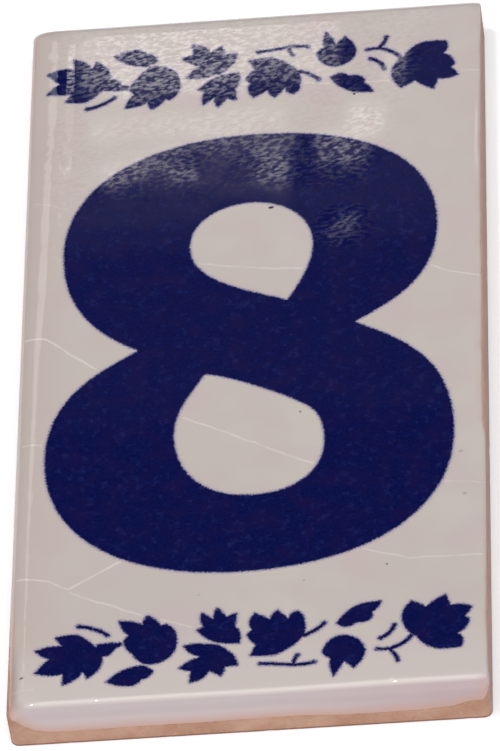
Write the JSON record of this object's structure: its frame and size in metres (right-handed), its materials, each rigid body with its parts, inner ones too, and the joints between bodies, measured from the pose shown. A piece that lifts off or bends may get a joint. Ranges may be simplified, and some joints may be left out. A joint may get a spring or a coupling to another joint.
{
  "type": "number tile",
  "caption": "Glazed clay house number tile with a bold blue 8 between two rows of blue leaves, rounded face edges and bare clay at the foot of its walls.",
  "frame": {"origin": "middle of the tile's flat back", "axes": "+X to the reader's right, +Y to the top of the numeral, +Z out of the glazed face"},
  "size_m": [0.055, 0.11, 0.006],
  "materials": {
    "clay": "unglazed fired clay, matt and fine grained",
    "white_glaze": "glossy white glaze with fine crazing",
    "blue_ink": "cobalt blue fired into the glaze, glossy with a fine ripple"
  },
  "bodies": {
    "root": {"tile_body": "clay", "glaze": "white_glaze", "numeral": "blue_ink", "garland_top": "blue_ink", "garland_bottom": "blue_ink"}
  },
  "joints": []
}
